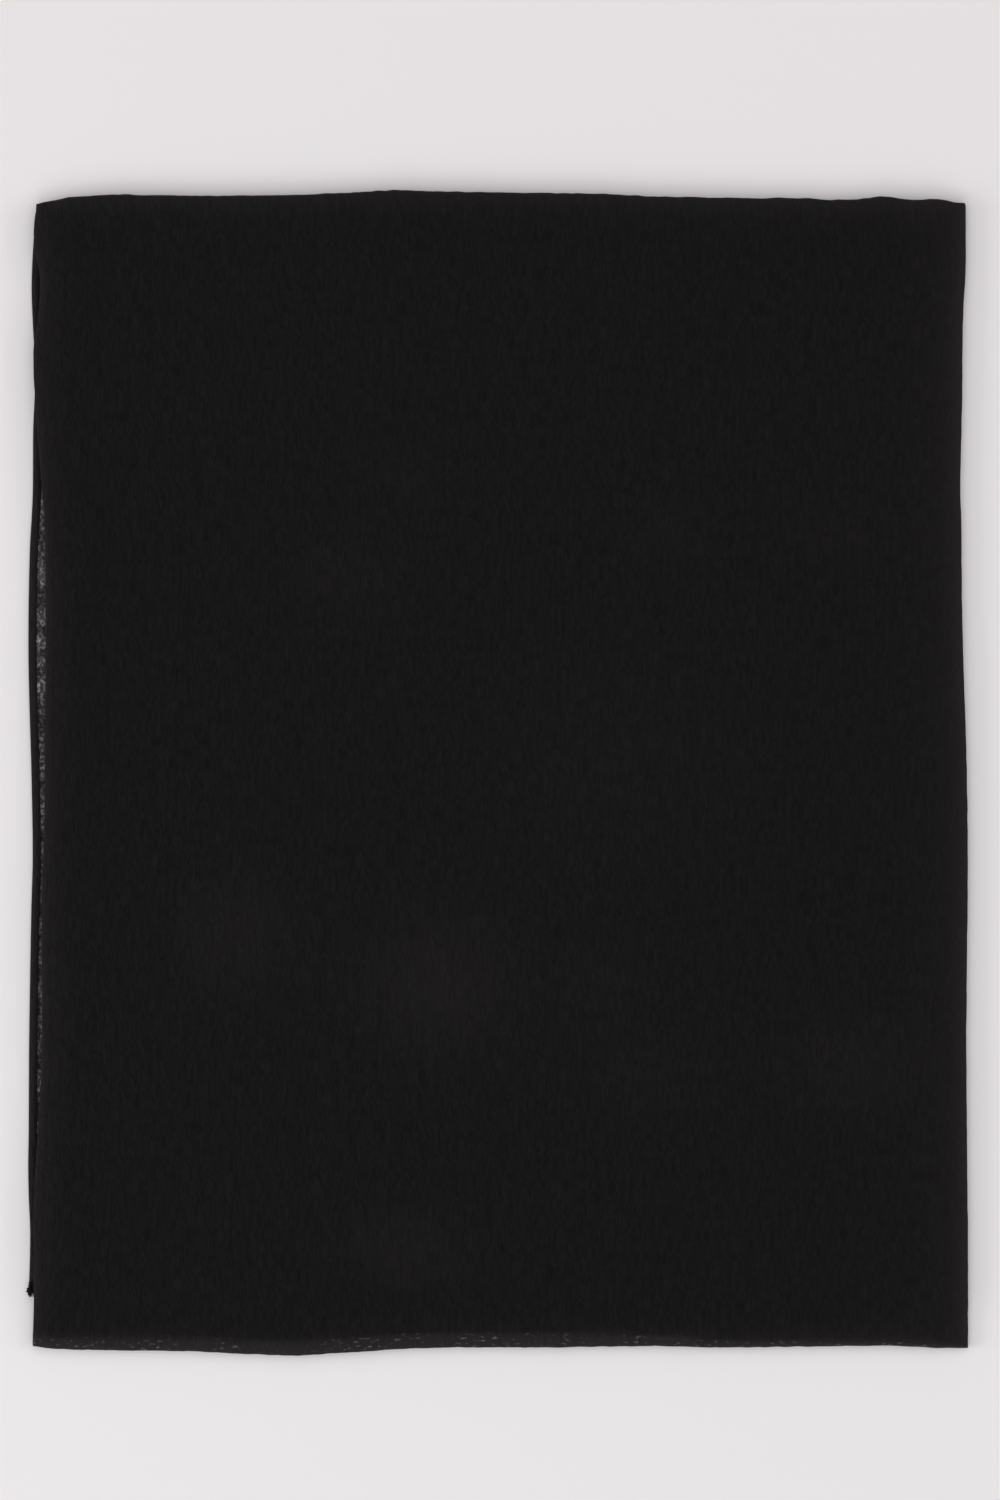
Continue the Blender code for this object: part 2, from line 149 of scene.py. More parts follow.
# How much painted sheen lightens the cloth, standing for its fuzz catching light, at its edges, on its right
# side and for each millimetre of swell, and how far in from the edge the painted lightness reaches
EDGE_PAINTED_SHEEN, EDGE_PAINTED_SHEEN_REACH = 0.42, 4 * MM
RIGHT_PAINTED_SHEEN, RIGHT_PAINTED_SHEEN_REACH = 0.22, 12 * MM
SWELL_PAINTED_SHEEN = 0.34
THIN_PAINTED_LIGHT = 0.38  # and painted light where only two plies lie at the front fold


def curve(table, place):
    """The table's value at places in metres, in metres, on a smooth curve through its rows."""
    places, outs = np.array(table, float).T
    at = np.clip(np.asarray(place, float) / MM, places[0], places[-1])
    slopes = np.empty_like(outs)
    slopes[1:-1] = (outs[2:] - outs[:-2]) / (places[2:] - places[:-2])
    slopes[0] = (outs[1] - outs[0]) / (places[1] - places[0])
    slopes[-1] = (outs[-1] - outs[-2]) / (places[-1] - places[-2])
    k = np.clip(np.searchsorted(places, at, side="right") - 1, 0, len(places) - 2)
    span = places[k + 1] - places[k]
    t = (at - places[k]) / span
    value = outs[k] * (1 + 2 * t) * (1 - t) ** 2 + outs[k + 1] * t**2 * (3 - 2 * t)
    value += slopes[k] * span * t * (1 - t) ** 2 - slopes[k + 1] * span * t**2 * (1 - t)
    return value * MM


def smooth_step(low, high, value):
    """0 at low, 1 at high, and an even curve between them."""
    t = np.clip((np.asarray(value, float) - low) / (high - low), 0, 1)
    return t * t * (3 - 2 * t)


LATTICE_SIZE = 512


@lru_cache
def lattice(seed):
    return np.random.default_rng(seed).uniform(-1, 1, (LATTICE_SIZE, LATTICE_SIZE))


def soft_noise(u, v, seed):
    """Smooth noise from -1 to 1 with one cell to a unit of u and v. The same seed gives the same noise."""
    values = lattice(seed)
    u, v = np.broadcast_arrays(np.asarray(u, float), np.asarray(v, float))
    u0, v0 = np.floor(u).astype(int), np.floor(v).astype(int)
    s, t = smooth_step(0, 1, u - u0), smooth_step(0, 1, v - v0)
    u0, u1, v0, v1 = u0 % LATTICE_SIZE, (u0 + 1) % LATTICE_SIZE, v0 % LATTICE_SIZE, (v0 + 1) % LATTICE_SIZE
    low = values[u0, v0] * (1 - s) + values[u1, v0] * s
    high = values[u0, v1] * (1 - s) + values[u1, v1] * s
    return low * (1 - t) + high * t


def crinkled(u, v):
    """Height of the crepe's crinkles at a place u across and v along the cloth."""
    total = 0
    for c in CRINKLES:
        stray = c.stray * soft_noise(u / (4 * c.wide), v / c.long, c.seed + 1)
        total = total + c.rise * soft_noise((u + stray) / c.wide, v / c.long, c.seed)
    return total


def ragged(place, period, reach, seed):
    """A small unevenness of an edge at places along it."""
    return reach * soft_noise(np.asarray(place) / period, 0.5, seed)


def upper_left(y):
    return LEFT - curve(UPPER_LEFT, y - FRONT)


def lower_left(y):
    return LEFT - curve(LOWER_LEFT, y - FRONT)


def right_side(y):
    return RIGHT + curve(RIGHT_EDGE, y - FRONT)


def front_line(x):
    return FRONT - FRONT_LOFT - curve(FRONT_EDGE, x - LEFT)


def back_line(x):
    return BACK + curve(BACK_EDGE, x - LEFT)


def fold_shift(x, y, reach):
    """How far the uneven front and back folds move a point along Y. It fades out over reach."""
    front = 1 - smooth_step(0, reach, y - FRONT - FRONT_FOLD / 2)
    back = 1 - smooth_step(0, reach, BACK - STACK / 2 - y)
    return front * (front_line(x) - FRONT) + back * (back_line(x) - BACK)


def stack_height(x, y):
    """Height of the packet's top without its crinkles."""
    height = FRONT_FOLD + (STACK - FRONT_FOLD) * smooth_step(SLOPE_FOOT, SLOPE_HEAD, y - FRONT)
    left = (1 - smooth_step(0, PILLOW_REACH, x - upper_left(y))) ** 2
    right = (1 - smooth_step(0, PILLOW_REACH, right_side(y) - x)) ** 2
    height = height * (1 - (PILLOW_LEFT * left + PILLOW_RIGHT * right) / STACK)
    return height + swelling(x, y)


def swelling(x, y):
    total = 0
    for s in SWELLS:
        across = (x / MM - s.x) / s.across
        along = (y / MM - s.y) / s.along
        total = total + s.rise * MM * np.exp(-(across**2) - along**2)
    return total


def painted_sheen(x, y):
    """Painted sheen: how much lighter the cloth is coloured where its fuzz would catch the light, at its
    edges and on its swells.
    """
    sides = np.minimum(x - upper_left(y), right_side(y) - x)
    folds = np.minimum(y - front_line(x), back_line(x) - y)
    inside = np.clip(np.minimum(sides, folds), 0, None)
    right = np.clip(right_side(y) - x, 0, None)
    edges = EDGE_PAINTED_SHEEN * np.exp(-inside / EDGE_PAINTED_SHEEN_REACH) + RIGHT_PAINTED_SHEEN * np.exp(-right / RIGHT_PAINTED_SHEEN_REACH)
    return edges + SWELL_PAINTED_SHEEN * swelling(x, y) / MM


# The cloth's path over the packet, a column of values each: where a station lies along Y, the way out of
# the cloth there in the YZ plane, how far along the cloth it is, and how far in the uneven folds move it
Path = namedtuple("Path", "y out_y out_z along reach")


RETURN_STEPS = 4  # stations of the short returns under the front and back folds


def cloth_path(level_step, slope_step=1.6 * MM, turn_steps=12):
    """Stations of the upper stretch, from under the front fold, over the top, to under the back fold."""
    front, back, head = FRONT + FRONT_FOLD / 2, BACK - STACK / 2, FRONT + SLOPE_HEAD
    front_fade, back_fade = FRONT_RETURN - FRONT_FOLD / 2, BACK_RETURN - STACK / 2
    rows = []
    for part in range(RETURN_STEPS + 1):
        done = front_fade * part / RETURN_STEPS
        reach = EDGE_FADE if part == RETURN_STEPS else front_fade
        rows.append((front + front_fade - done, 0, -1, done, reach))
    along = front_fade

    def half_turn(y, start, radius, steps):
        for i in range(1, steps):
            turned = math.pi * i / steps
            angle = start - turned
            rows.append((y, math.cos(angle), math.sin(angle), along + radius * turned, EDGE_FADE))
        return along + math.pi * radius

    along = half_turn(front, -math.pi / 2, FRONT_FOLD / 2, turn_steps)
    slope_rows = round((head - front) / slope_step)
    level_rows = round((back - head) / level_step)
    places = np.concatenate([np.linspace(front, head, slope_rows, endpoint=False),
                             np.linspace(head, back, level_rows + 1)])
    rows += [(y, 0, 1, along + y - front, EDGE_FADE) for y in places]
    along += back - front
    along = half_turn(back, math.pi / 2, STACK / 2, turn_steps + 4)
    for part in range(RETURN_STEPS + 1):
        done = back_fade * part / RETURN_STEPS
        reach = EDGE_FADE if part == 0 else back_fade
        rows.append((back - done, 0, -1, along + done, reach))
    return Path(*(column[:, None] for column in np.array(rows).T))


def path_left(path):
    """Left edge of the upper stretch at each station. Under the back fold it meets the lower one's."""
    under_back = (path.out_z < -0.3) & (path.y > 0)
    return np.where(under_back, lower_left(path.y), upper_left(path.y))


def on_path(path, x, depth):
    """Points at x, this deep inside the cloth's outer surface at each station: rows by columns by x, y, z."""
    height = stack_height(x, path.y)
    y = path.y + path.out_y * (height / 2 - depth) + fold_shift(x, path.y, path.reach)
    z = height * (1 + path.out_z) / 2 - depth * path.out_z
    return np.stack(np.broadcast_arrays(x, y, z), axis=-1)


def closed_form(name, rings, material, uv=None, **values):
    """A closed mesh through rings of points, with a single face on each end and its place in its mesh.

    uv holds a pair for each point, in metres on the cloth, and values hold a number for each point.
    """
    count, around = rings.shape[:2]
    index = np.arange(count * around).reshape(count, around)
    following = np.roll(index, -1, axis=1)
    quads = np.stack([index[:-1], following[:-1], following[1:], index[1:]], axis=-1).reshape(-1, 4)
    faces = quads.tolist() + [index[0].tolist(), index[-1].tolist()]
    mesh = bpy.data.meshes.new(name)
    mesh.from_pydata(rings.reshape(-1, 3).tolist(), [], faces)
    tidy = bmesh.new()
    tidy.from_mesh(mesh)
    bmesh.ops.recalc_face_normals(tidy, faces=tidy.faces)
    tidy.to_mesh(mesh)
    tidy.free()
    if uv is not None:
        corners = np.empty(len(mesh.loops), int)
        mesh.loops.foreach_get("vertex_index", corners)
        layer = mesh.uv_layers.new(name="cloth")
        layer.data.foreach_set("uv", uv.reshape(-1, 2)[corners].astype(np.float32).ravel())
    for key, value in values.items():
        attribute = mesh.attributes.new(key, "FLOAT", "POINT")
        attribute.data.foreach_set("value", value.astype(np.float32).ravel())
    mesh.shade_smooth()
    mesh.materials.append(material)
    piece = bpy.data.objects.new(name, mesh)
    bpy.context.scene.collection.objects.link(piece)
    return piece


# Points across the outer side of the upper stretch, and across its plain inner side
OUTER_COLUMNS = 350
INNER_COLUMNS = 14
RIM = 0.3 * MM  # the outer side starts this far inside the left edge
RAGGED_REACH = 0.12 * MM  # how far the edges stray where the crinkles end
NOSE_CALM = 0.4  # share of their height that the crinkles lose on the noses of the folds


def upper_cloth(material):
    """The stretch that shows from above: crinkled outside, plain inside, with the fold on its right."""
    path = cloth_path(level_step=2.2 * MM)
    left = path_left(path) + ragged(path.along, 3.0 * MM, RAGGED_REACH, 5)
    edge = right_side(path.y) + ragged(path.along, 3.4 * MM, RAGGED_REACH, 6)
    raised = smooth_step(SLOPE_FOOT, SLOPE_HEAD, path.y - FRONT)
    radius = (FRONT_BEAD + (BEAD - FRONT_BEAD) * raised) / 2
    # The crinkles stand up outside and fade out under the folds
    standing = smooth_step(-0.95, -0.2, path.out_z) * (1 - NOSE_CALM * np.abs(path.out_y))

    start, end = left + RIM, edge - radius
    x = start + (end - start) * np.linspace(0, 1, OUTER_COLUMNS)
    outer = on_path(path, x, -crinkled(x, path.along) * standing)
    # The bead on the right: half a turn from the outer side to the underside, and a short way back in
    turn = np.radians([20, 45, 70, 90, 110, 135, 160, 180])
    bead = on_path(path, end + radius * np.sin(turn), radius * (1 - np.cos(turn)))
    back_depth = np.hstack([2 * radius - 0.25 * MM, 0 * radius + WALL])
    back_in = on_path(path, end - np.array([0.5, 1.2]) * MM, back_depth)
    x = end - 6 * MM + (start + 8 * MM - end) * np.linspace(0, 1, INNER_COLUMNS)
    inner = on_path(path, x, WALL)
    rim_rise = crinkled(left, path.along) * standing
    rim = on_path(path, left + np.array([0.35, 0, 0.05]) * MM, WALL * np.array([1, 0.7, 0.2]) - rim_rise)

    rings = np.concatenate([outer, bead, back_in, inner, rim], axis=1)
    across, y = rings[..., 0], rings[..., 1]
    along = np.broadcast_to(path.along, across.shape)
    # Only two plies lie between the shawl's front fold and the hidden plies' own: painted light lightens it
    # there
    inner_fold = curve(INNER_FOLD, across - LEFT)
    thin = 1 - smooth_step(-0.8 * MM, 0.6 * MM, y - front_line(across) - inner_fold)
    # Painted sheen at the edges and on the swells, and painted light on the two-ply band
    nap = np.clip(painted_sheen(across, y) + THIN_PAINTED_LIGHT * thin, 0, 1)
    uv = np.stack([across, along], axis=-1)
    return closed_form("upper_cloth", rings, material, uv, thin=thin, nap=nap)


LOWER_STEPS = 220
LOWER_WALL = 0.62 * MM
LOWER_RELIEF = 0.3 * MM  # the most that its crinkles rise or sink
LOWER_BEAD = 0.6 * MM  # radius of its round fold on the right
LOWER_INSET = 0.8 * MM  # that fold lies this far inside the upper stretch's
SHEER_STRIP = 12 * MM  # the left part that shows, or can be seen into from the side
OTHER_CLOTH = 0.2  # metres from the upper stretch in the crinkles' pattern


def lower_cloth(material):
    """The bottom ply. Its sheer left edge stands out from under the stack."""
    y = np.linspace(FRONT + END_SETBACK, BACK - BACK_RETURN - 0.3 * MM, LOWER_STEPS)[:, None]
    left = lower_left(y)
    edge = right_side(y) - LOWER_INSET
    fine = left + np.linspace(0.4 * MM, SHEER_STRIP, 26)
    start = left + 30 * MM
    x = np.hstack([fine, start + (edge - 8 * MM - start) * np.linspace(0, 1, 12)])
    upper_z = LOWER_WALL + np.clip(crinkled(x + OTHER_CLOTH, y), -LOWER_RELIEF, LOWER_RELIEF)
    radius = LOWER_BEAD
    turn = np.radians([0, 30, 60, 90, 120, 150, 180])
    bead_x, bead_z = edge - radius + radius * np.sin(turn), radius + radius * np.cos(turn) + 0 * y
    end = edge - 12 * MM
    under_x = end + (left + 0.4 * MM - end) * np.linspace(0, 1, 10)
    rim_z = np.array([0.12, 0.45]) * MM + 0 * y
    x = np.hstack([x, bead_x, under_x, left, left])
    z = np.hstack([upper_z, bead_z, 0 * under_x, rim_z])
    rings = np.stack(np.broadcast_arrays(x, y, z), axis=-1)
    sheer = 1 - smooth_step(8 * MM, SHEER_STRIP, x - left)
    uv = rings[..., :2] + OTHER_CLOTH
    return closed_form("lower_cloth", rings, material, uv, sheer=sheer, nap=0.25 + 0 * x)


# The hidden plies, lowest first: how far the edges of each lie inside the upper stretch's, in millimetres,
# and its share of their height. The first and the last have the hems beside them.
Ply = namedtuple("Ply", "left right share")
HIDDEN_PLIES = [
    Ply(4.6, 3.4, 0.24), Ply(1.6, 1.5, 0.13), Ply(0.9, 1.5, 0.13), Ply(1.8, 0.6, 0.13), Ply(0.7, 0.6, 0.13),
    Ply(4.3, 2.7, 0.24),
]
JOINED = (2, 4)  # each is joined at the right to the one below it
TUCK = 4.6 * MM  # how far inside their edges lie where they turn within the back fold
TUCK_ROUND = 6 * MM
PLY_STEPS = 185
PLY_BACK_INSET = 5.6 * MM  # their level stretch ends this far before the back fold
PLY_NOSE_INSET = 1.35 * MM  # and their nose lies this far inside the packet's
PLY_NOSE = np.radians([12, 24, 36, 48, 60, 72])

# Half of a ply's round edge: share of its height, and how far in from its outermost, in notch depths
ROUND_EDGE = [(0.0, 1.0), (0.12, 0.35), (0.3, 0.05), (0.5, 0.0), (0.7, 0.05), (0.88, 0.35)]


def ply_edges(floor, ceiling, pinch, edges, notches):
    """Points up one side of the hidden plies: a round edge for each ply, with grooves between them."""
    middle = (floor + ceiling) / 2
    low = floor
    xs, zs = [], []
    for k, ply in enumerate(HIDDEN_PLIES):
        thick = (ceiling - floor) * ply.share
        above = notches[min(k + 1, len(notches) - 1)]
        for share, depth in ROUND_EDGE:
            notch = notches[k] if share < 0.5 else above
            xs.append(edges[k] + depth * notch * thick)
            zs.append(middle + (low + thick * share - middle) * pinch)
        low = low + thick
    xs.append(edges[-1] + notches[-1] * (ceiling - floor) * HIDDEN_PLIES[-1].share)
    zs.append(middle + (low - middle) * pinch)
    return np.hstack(xs), np.hstack(zs)


def hidden_plies(material):
    """The plies between the two stretches, as one piece with the edge of each ply at its sides."""
    first, last = FRONT + INNER_FOLD[0].out * MM, BACK - PLY_BACK_INSET
    nose = STACK / 2 - PLY_NOSE_INSET
    y = np.concatenate([np.linspace(first, last, PLY_STEPS), last + nose * np.sin(PLY_NOSE)])[:, None]
    pinch = np.concatenate([np.ones(PLY_STEPS), np.cos(PLY_NOSE)])[:, None]
    turning = pinch < 1
    tuck = TUCK + TUCK_ROUND * (1 - pinch)
    left, edge = upper_left(y), right_side(y)
    lefts, rights = [], []
    for k, ply in enumerate(HIDDEN_PLIES):
        uneven = ragged(y + k, 5 * MM, 0.2 * MM, 31) + ragged(y + k, 38 * MM, 0.3 * MM, 37)
        ply_left = left + ply.left * MM + uneven
        if k == 0:
            ply_left = np.maximum(ply_left, lower_left(y) + HEM_WIDTH + 0.3 * MM)
        lefts.append(np.where(turning, left + tuck, ply_left))
        uneven = ragged(y + k // 2, 6 * MM, 0.15 * MM, 41)
        rights.append(np.where(turning, edge - tuck, edge - ply.right * MM + uneven))
    notches = np.ones(len(HIDDEN_PLIES))
    left_top = stack_height(left + 4 * MM, y) - WALL - SEAM
    right_top = stack_height(edge - 3 * MM, y) - WALL - SEAM
    left_x, left_z = ply_edges(ROOM_FLOOR, left_top, pinch, lefts, notches)
    notches[list(JOINED)] = 0.2
    right_x, right_z = ply_edges(ROOM_FLOOR, right_top, pinch, rights, -notches)
    columns = left + 14 * MM + (edge - left - 28 * MM) * np.linspace(0, 1, 16)
    top = stack_height(columns, y) - WALL - SEAM
    middle = (ROOM_FLOOR + top) / 2
    top, bottom = middle + (top - middle) * pinch, middle + (ROOM_FLOOR - middle) * pinch
    x = np.hstack([left_x, columns, right_x[:, ::-1], columns[:, ::-1]])
    z = np.hstack([left_z, top, right_z[:, ::-1], bottom[:, ::-1]])
    # Their own front fold follows the shawl's, and comes nearer to it on the right
    shift = (1 - smooth_step(0, EDGE_FADE, y - FRONT)) * (front_line(x) - FRONT)
    nearer = (1 - smooth_step(0, 14 * MM, y - first)) * (curve(INNER_FOLD, x - LEFT) - (first - FRONT))
    rings = np.stack([x, y + shift + nearer, z], axis=-1)
    return closed_form("hidden_plies", rings, material, rings[..., :2], nap=0.12 + 0 * x)


HEM_SIDES = 16
HEM_NAP = 0.45
PUCKER = 1.7 * MM  # length of one pucker along a hem


def rolled_hem(name, base, up, along, height, material, seed):
    """A narrow rolled hem. base is the foot of its outer side, a row for each ring, and up is its way up."""
    pucker = soft_noise(along / PUCKER, 0.5, seed)
    swell = soft_noise(along / (7 * MM), 3.5, seed)
    width = HEM_WIDTH * (1 + 0.035 * pucker)
    height = height * (1 + 0.10 * pucker + 0.08 * swell)
    turn = np.linspace(0, 2 * math.pi, HEM_SIDES, endpoint=False)
    side = np.cos(turn)
    # Fuller on the outer side than on the stitched one
    lift = np.sin(turn) * (1 - 0.35 * np.maximum(side, 0))
    x = base[:, :1] + width / 2 * (1 + side)
    y = base[:, 1:2] + up[:, :1] * height / 2 * (1 + lift)
    z = base[:, 2:] + up[:, 1:] * height / 2 * (1 + lift)
    rings = np.stack([x, y, z], axis=-1)
    around = turn / math.pi * (HEM_WIDTH + height)
    uv = np.stack(np.broadcast_arrays(around, along), axis=-1)
    return closed_form(name, rings, material, uv, nap=HEM_NAP + 0 * x)


LOWER_HEM_FOOT = 0.55 * MM
LOWER_HEM_HEIGHT = 1.15 * MM
UPPER_HEM_HEIGHT = 0.9 * MM
UPPER_HEM_FOOT = WALL + 0.98 * MM  # how deep under the upper stretch's outer side
UPPER_HEM_FROM = FRONT + 14 * MM  # clear of the front fold


def lower_hem(material):
    y = np.linspace(FRONT + END_SETBACK + 1.5 * MM, BACK - BACK_RETURN - 0.5 * MM, 520)[:, None]
    base = np.hstack([lower_left(y) - 0.05 * MM, y, 0 * y + LOWER_HEM_FOOT])
    up = np.hstack([0 * y, 0 * y + 1])
    return rolled_hem("lower_hem_roll", base, up, y, LOWER_HEM_HEIGHT, material, seed=3)


def upper_hem(material):
    path = cloth_path(level_step=0.9 * MM, slope_step=0.9 * MM, turn_steps=16)
    shown = path.y[:, 0] > UPPER_HEM_FROM
    path = Path(*(column[shown] for column in path))
    base = on_path(path, path_left(path) + 0.15 * MM, UPPER_HEM_FOOT)[:, 0]
    up = np.hstack([path.out_y, path.out_z])
    return rolled_hem("upper_hem_roll", base, up, path.along, UPPER_HEM_HEIGHT, material, seed=8)


KNOT_AT, KNOT_SPREAD = 0.42, 0.2  # shares of the corner's length, from the front
STRAND_SIDES = 10
STRAND_STEPS = 40
STRAND_TWIST = 5.5 * math.pi
CORNER_NAP = 0.3


def hem_corner(material):
    """The knotted corner of the hem: two twisted thread ends with a knot in them."""
    low, high = CORNER_LOW, CORNER_HIGH
    middle = (low + high) / 2
    share = np.linspace(0, 1, STRAND_STEPS)[:, None]
    knot = np.exp(-(((share - KNOT_AT) / KNOT_SPREAD) ** 2))
    reach = (0.30 + 0.22 * knot) * MM
    taper = np.clip(np.minimum(6 * share, 6 * (1 - share)) + 0.25, 0, 1)
    thick = (0.36 + 0.28 * knot) * MM * taper
    turn = np.linspace(0, 2 * math.pi, STRAND_SIDES, endpoint=False)
    strands = []
    for strand in range(2):
        twist = STRAND_TWIST * share + math.pi * strand
        # The knot leans outwards and is wider than high
        x = middle.x - 0.4 * MM * knot + 1.4 * reach * np.cos(twist) + thick * np.cos(turn)
        y = low.y + (high.y - low.y) * share
        z = middle.z - 0.1 * MM + reach * np.sin(twist) + thick * np.sin(turn)
        rings = np.stack(np.broadcast_arrays(x, y, z), axis=-1)
        name = f"hem_corner_strand_{strand + 1}"
        strands.append(closed_form(name, rings, material, rings[..., 1:], nap=CORNER_NAP + 0 * x))
    return strands


# Stitches of the hems
STITCH_PITCH = 3.0 * MM
STITCH_LENGTH = 2.1 * MM
STITCH_THICKNESS = 0.26 * MM
LOWER_STITCH_LINE = 3.0 * MM  # in from the hem's outer edge
UPPER_STITCH_LINE = 3.3 * MM


def stitch_nodes(material):
    """Node group that lays a short stitch at even steps along a line."""
    group = bpy.data.node_groups.new("stitches", "GeometryNodeTree")
    sockets = group.interface
    sockets.new_socket("Line", in_out="INPUT", socket_type="NodeSocketGeometry")
    for name in ("Pitch", "Length", "Thickness"):
        sockets.new_socket(name, in_out="INPUT", socket_type="NodeSocketFloat")
    sockets.new_socket("Seed", in_out="INPUT", socket_type="NodeSocketInt")
    sockets.new_socket("Stitches", in_out="OUTPUT", socket_type="NodeSocketGeometry")
    make, link = group.nodes.new, group.links.new
    given = make("NodeGroupInput")
    result = make("NodeGroupOutput")

    line = make("GeometryNodeMeshToCurve")
    link(given.outputs["Line"], line.inputs["Mesh"])
    steps = make("GeometryNodeResampleCurve")
    steps.mode = "LENGTH"
    link(line.outputs["Curve"], steps.inputs["Curve"])
    link(given.outputs["Pitch"], steps.inputs["Length"])

    thread = make("GeometryNodeMeshUVSphere")
    thread.inputs["Segments"].default_value = 6
    thread.inputs["Rings"].default_value = 5
    thread.inputs["Radius"].default_value = 0.5

    heading = make("FunctionNodeAlignRotationToVector")
    heading.axis = "X"
    tangent = make("GeometryNodeInputTangent")
    link(tangent.outputs["Tangent"], heading.inputs["Vector"])
    uneven = make("FunctionNodeRandomValue")
    uneven.data_type = "FLOAT"
    uneven.inputs[2].default_value = 0.85
    uneven.inputs[3].default_value = 1.12
    link(given.outputs["Seed"], uneven.inputs["Seed"])
    length = make("ShaderNodeMath")
    length.operation = "MULTIPLY"
    link(given.outputs["Length"], length.inputs[0])
    link(uneven.outputs[1], length.inputs[1])
    size = make("ShaderNodeCombineXYZ")
    link(length.outputs["Value"], size.inputs["X"])
    link(given.outputs["Thickness"], size.inputs["Y"])
    link(given.outputs["Thickness"], size.inputs["Z"])

    lay = make("GeometryNodeInstanceOnPoints")
    link(steps.outputs["Curve"], lay.inputs["Points"])
    link(thread.outputs["Mesh"], lay.inputs["Instance"])
    link(heading.outputs["Rotation"], lay.inputs["Rotation"])
    link(size.outputs["Vector"], lay.inputs["Scale"])
    real = make("GeometryNodeRealizeInstances")
    link(lay.outputs["Instances"], real.inputs["Geometry"])
    coat = make("GeometryNodeSetMaterial")
    coat.inputs["Material"].default_value = material
    link(real.outputs["Geometry"], coat.inputs["Geometry"])
    link(coat.outputs["Geometry"], result.inputs["Stitches"])
    return group


def stitch_row(name, points, group, seed):
    """A row of stitches along a line of points, as a plain mesh."""
    line = bpy.data.meshes.new(name + "_line")
    line.from_pydata(points.tolist(), [(i, i + 1) for i in range(len(points) - 1)], [])
    piece = bpy.data.objects.new(name, line)
    bpy.context.scene.collection.objects.link(piece)
    laying = piece.modifiers.new("stitches", "NODES")
    laying.node_group = group
    amounts = {"Pitch": STITCH_PITCH, "Length": STITCH_LENGTH, "Thickness": STITCH_THICKNESS, "Seed": seed}
    for socket in group.interface.items_tree:
        if socket.in_out == "INPUT" and socket.name in amounts:
            laying[socket.identifier] = amounts[socket.name]
    graph = bpy.context.evaluated_depsgraph_get()
    stitches = bpy.data.meshes.new_from_object(piece.evaluated_get(graph))
    piece.modifiers.remove(laying)
    piece.data = stitches
    stitches.name = name
    stitches.shade_smooth()
    return piece


def hem_stitches(material):
    """The rows of stitches that hold the hems, near their inner edges."""
    group = stitch_nodes(material)
    y = np.linspace(FRONT + END_SETBACK + 9 * MM, BACK - BACK_RETURN - 3 * MM, 300)[:, None]
    z = 0 * y + LOWER_HEM_FOOT + 0.79 * LOWER_HEM_HEIGHT
    lower = np.hstack([lower_left(y) + LOWER_STITCH_LINE, y, z])
    path = cloth_path(level_step=2 * MM)
    shown = (path.y[:, 0] > UPPER_HEM_FROM) & (path.out_z[:, 0] > -0.3)
    path = Path(*(column[shown] for column in path))
    x = path_left(path) + UPPER_STITCH_LINE
    upper = on_path(path, x, -crinkled(x, path.along))[:, 0]
    lower_row = stitch_row("lower_hem_stitches", lower, group, 1)
    upper_row = stitch_row("upper_hem_stitches", upper, group, 2)
    return lower_row, upper_row


# How light the crepe is: painted shade in its troughs, its colour on its crinkles, painted sheen where its
# fuzz catches light (the same colour gives the hems their lighter tone), and painted light where light comes
# through a gap between two plies
SHADED_TROUGH = (0.0053, 0.0048, 0.0050, 1)
CREST = (0.0083, 0.0075, 0.0077, 1)
FUZZ_AND_PAINTED_LIGHT = (0.0260, 0.0230, 0.0238, 1)
GLINT = (0.0900, 0.0840, 0.0900, 1)
CRINKLE_RELIEF = 0.62 * MM
GRAIN_RELIEF = 0.15 * MM
SINGLE_PLY_OPENNESS = 0.6  # share of light that a single ply lets through


